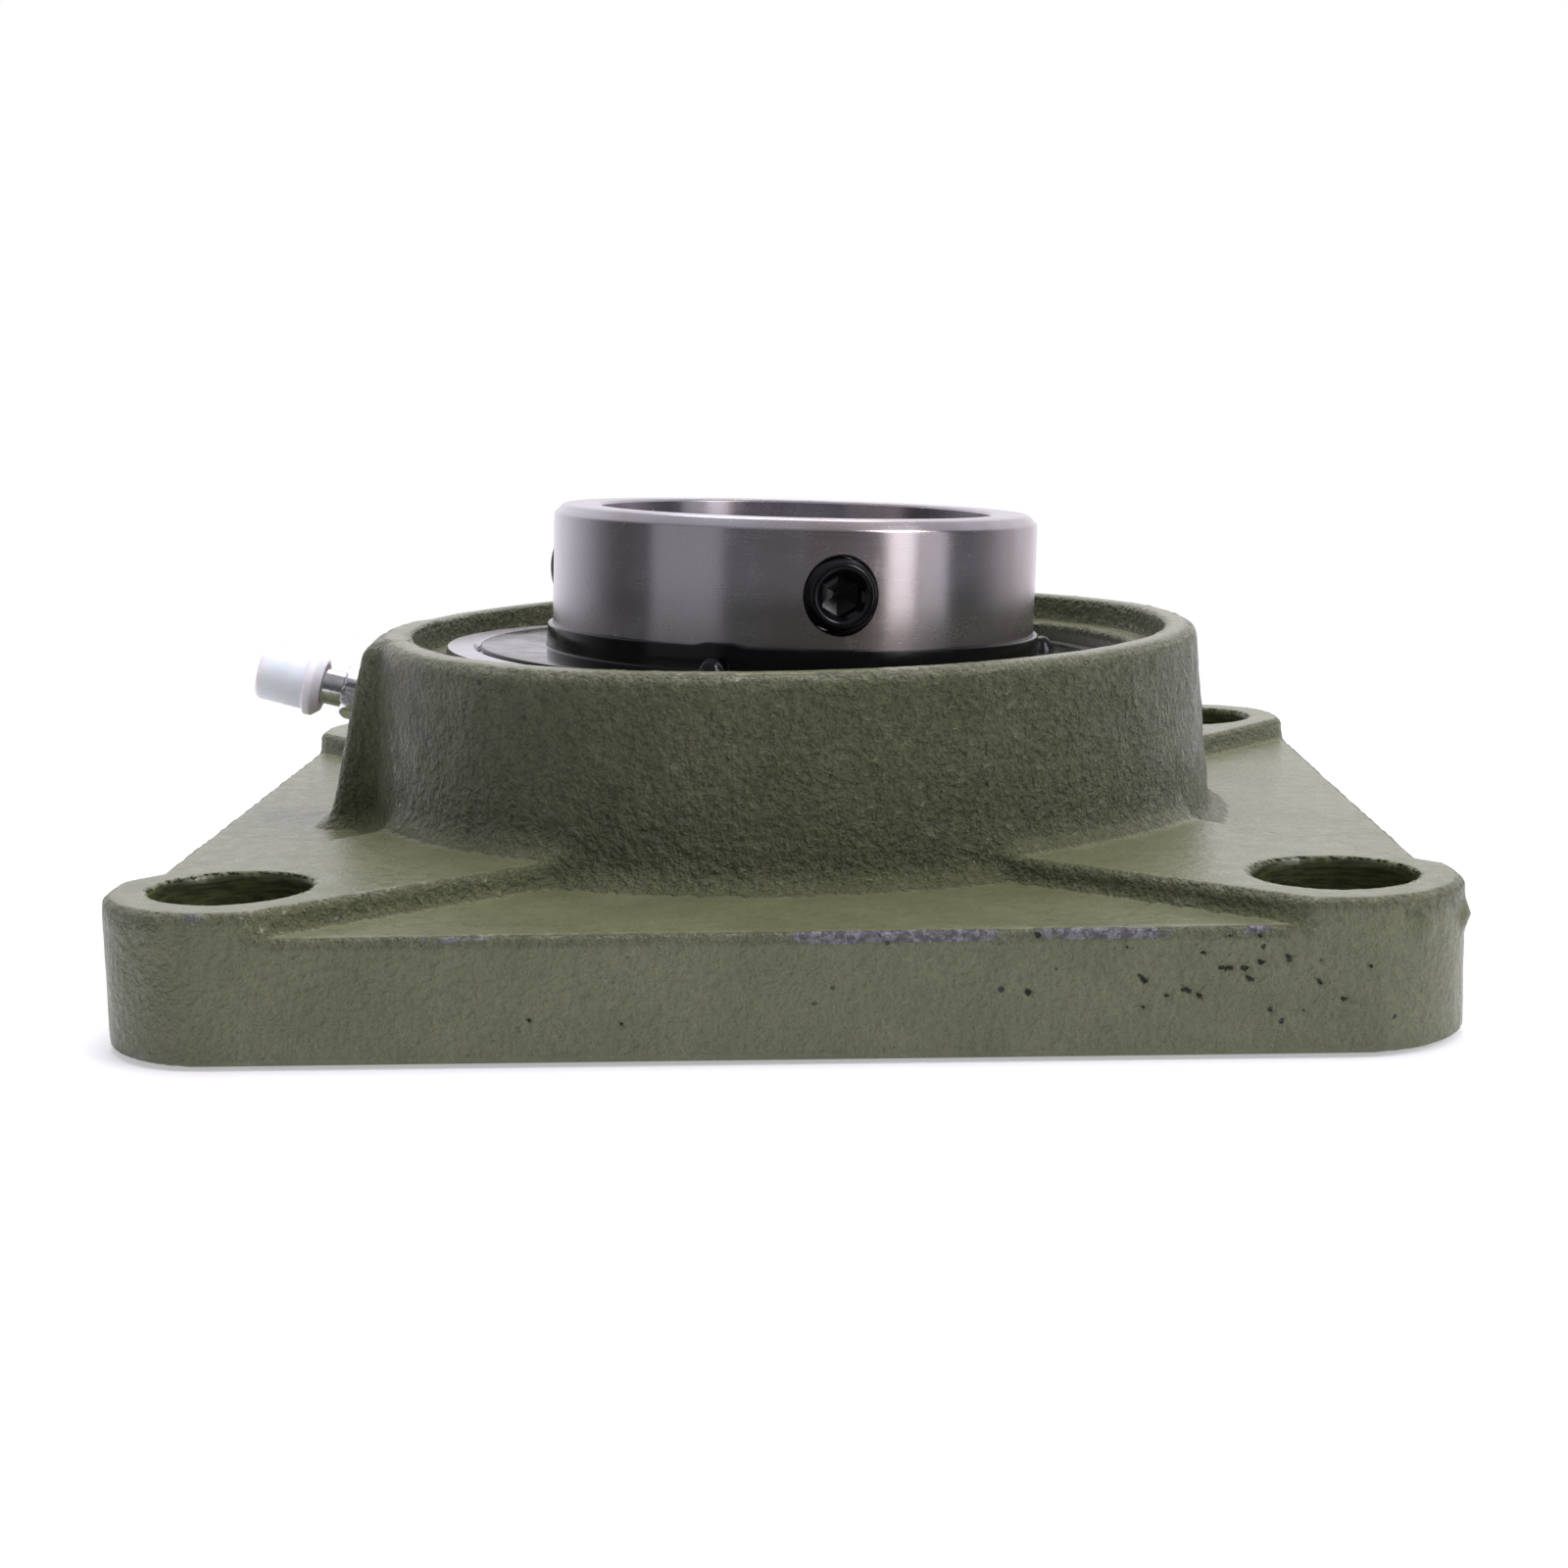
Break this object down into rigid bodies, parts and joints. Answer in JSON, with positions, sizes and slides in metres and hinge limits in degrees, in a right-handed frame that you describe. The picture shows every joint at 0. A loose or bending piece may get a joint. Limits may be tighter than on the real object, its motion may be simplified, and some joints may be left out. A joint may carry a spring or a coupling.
{
  "type": "square flange mount bearing",
  "caption": "Square cast flange housing with a self-aligning ball bearing insert, set screw collar and capped grease nipple, for carrying a shaft end at a wall or frame.",
  "frame": {"origin": "centre of the four bolt holes, on the flat mounting face at the back of the flange", "axes": "+Z out of the front of the housing, square to the mounting face; -X towards the grease nipple; X and Y along the flange's sides"},
  "size_m": [0.16, 0.16, 0.0592],
  "materials": {
    "green_paint": "semi-gloss olive paint on rough sand-cast iron, chipped on its edges",
    "ring_steel": "ground bearing steel, satin, fine lines around the axis",
    "ball_steel": "polished",
    "cage_steel": "pressed sheet, satin",
    "seal_steel": "pressed sheet, satin",
    "black_rubber": "matte moulded nitrile rubber",
    "black_enamel": "glossy black coat on pressed steel",
    "black_oxide": "oiled black oxide, glossy",
    "zinc_plate": "bright zinc plate",
    "spring_steel": "drawn wire",
    "clear_white_plastic": "translucent milky polyethylene"
  },
  "bodies": {
    "housing": {"housing": "green_paint", "nipple_body": "zinc_plate"},
    "check_ball": {"nipple_check_ball": "ball_steel", "nipple_spring": "spring_steel"},
    "dust_cap": {"nipple_cap": "clear_white_plastic"},
    "outer_ring": {"outer_ring": "ring_steel", "seal_core_front": "seal_steel", "seal_lip_front": "black_rubber", "seal_core_back": "seal_steel", "seal_lip_back": "black_rubber"},
    "inner_ring": {"inner_ring": "ring_steel", "flinger_front": "black_enamel", "flinger_back": "black_enamel"},
    "cage": {"cage_front": "cage_steel", "cage_back": "cage_steel", "cage_rivets": "cage_steel"},
    "ball_01": {"ball_01": "ball_steel"},
    "ball_02": {"ball_02": "ball_steel"},
    "ball_03": {"ball_03": "ball_steel"},
    "ball_04": {"ball_04": "ball_steel"},
    "ball_05": {"ball_05": "ball_steel"},
    "ball_06": {"ball_06": "ball_steel"},
    "ball_07": {"ball_07": "ball_steel"},
    "ball_08": {"ball_08": "ball_steel"},
    "ball_09": {"ball_09": "ball_steel"},
    "ball_10": {"ball_10": "ball_steel"},
    "set_screw_1": {"set_screw_1": "black_oxide"},
    "set_screw_2": {"set_screw_2": "black_oxide"}
  },
  "joints": [
    {"name": "self_align", "type": "hinge", "parent": "housing", "child": "outer_ring", "pos_m": [0, 0, 0.025], "axis": [-0.3894, 0.9211, 0], "range_deg": [-5.8, 0.1]},
    {"name": "inner_spin", "type": "hinge", "parent": "outer_ring", "child": "inner_ring", "pos_m": [0, 0, 0.025], "axis": [0.0454, 0.0192, 0.9988], "continuous": true},
    {"name": "cage_turn", "type": "hinge", "parent": "outer_ring", "child": "cage", "pos_m": [0, 0, 0.025], "axis": [0.0454, 0.0192, 0.9988], "continuous": true},
    {"name": "ball_01_spin", "type": "hinge", "parent": "cage", "child": "ball_01", "pos_m": [0.03871, -0.00003, 0.02324], "axis": [0.0454, 0.0192, 0.9988], "continuous": true},
    {"name": "ball_02_spin", "type": "hinge", "parent": "cage", "child": "ball_02", "pos_m": [0.03132, 0.02275, 0.02314], "axis": [0.0454, 0.0192, 0.9988], "continuous": true},
    {"name": "ball_03_spin", "type": "hinge", "parent": "cage", "child": "ball_03", "pos_m": [0.01196, 0.03684, 0.02375], "axis": [0.0454, 0.0192, 0.9988], "continuous": true},
    {"name": "ball_04_spin", "type": "hinge", "parent": "cage", "child": "ball_04", "pos_m": [-0.01196, 0.03686, 0.02484], "axis": [0.0454, 0.0192, 0.9988], "continuous": true},
    {"name": "ball_05_spin", "type": "hinge", "parent": "cage", "child": "ball_05", "pos_m": [-0.03132, 0.0228, 0.02599], "axis": [0.0454, 0.0192, 0.9988], "continuous": true},
    {"name": "ball_06_spin", "type": "hinge", "parent": "cage", "child": "ball_06", "pos_m": [-0.03871, 0.00003, 0.02676], "axis": [0.0454, 0.0192, 0.9988], "continuous": true},
    {"name": "ball_07_spin", "type": "hinge", "parent": "cage", "child": "ball_07", "pos_m": [-0.03132, -0.02275, 0.02686], "axis": [0.0454, 0.0192, 0.9988], "continuous": true},
    {"name": "ball_08_spin", "type": "hinge", "parent": "cage", "child": "ball_08", "pos_m": [-0.01196, -0.03684, 0.02625], "axis": [0.0454, 0.0192, 0.9988], "continuous": true},
    {"name": "ball_09_spin", "type": "hinge", "parent": "cage", "child": "ball_09", "pos_m": [0.01196, -0.03686, 0.02516], "axis": [0.0454, 0.0192, 0.9988], "continuous": true},
    {"name": "ball_10_spin", "type": "hinge", "parent": "cage", "child": "ball_10", "pos_m": [0.03132, -0.0228, 0.02402], "axis": [0.0454, 0.0192, 0.9988], "continuous": true},
    {"name": "set_screw_1_travel", "type": "slide", "parent": "inner_ring", "child": "set_screw_1", "axis": [0.1992, -0.9799, 0.0098], "range_m": [-0.0002, 0.006]},
    {"name": "set_screw_2_travel", "type": "slide", "parent": "inner_ring", "child": "set_screw_2", "axis": [-0.9473, 0.3181, 0.0369], "range_m": [-0.0009, 0.006]},
    {"name": "cap_pull", "type": "slide", "parent": "housing", "child": "dust_cap", "axis": [-0.9703, 0, 0.2419], "range_m": [0, 0.012]},
    {"name": "check_ball_push", "type": "slide", "parent": "housing", "child": "check_ball", "axis": [0.9703, 0, -0.2419], "range_m": [0, 0.001], "stiffness_N_per_m": 300, "deforming": ["nipple_spring"]}
  ],
  "couplings": [
    {"joint": "cage_turn", "follows": "inner_spin", "ratio": 0.40782},
    {"joint": "ball_01_spin", "follows": "inner_spin", "ratio": -2.6199},
    {"joint": "ball_02_spin", "follows": "inner_spin", "ratio": -2.6199},
    {"joint": "ball_03_spin", "follows": "inner_spin", "ratio": -2.6199},
    {"joint": "ball_04_spin", "follows": "inner_spin", "ratio": -2.6199},
    {"joint": "ball_05_spin", "follows": "inner_spin", "ratio": -2.6199},
    {"joint": "ball_06_spin", "follows": "inner_spin", "ratio": -2.6199},
    {"joint": "ball_07_spin", "follows": "inner_spin", "ratio": -2.6199},
    {"joint": "ball_08_spin", "follows": "inner_spin", "ratio": -2.6199},
    {"joint": "ball_09_spin", "follows": "inner_spin", "ratio": -2.6199},
    {"joint": "ball_10_spin", "follows": "inner_spin", "ratio": -2.6199}
  ]
}
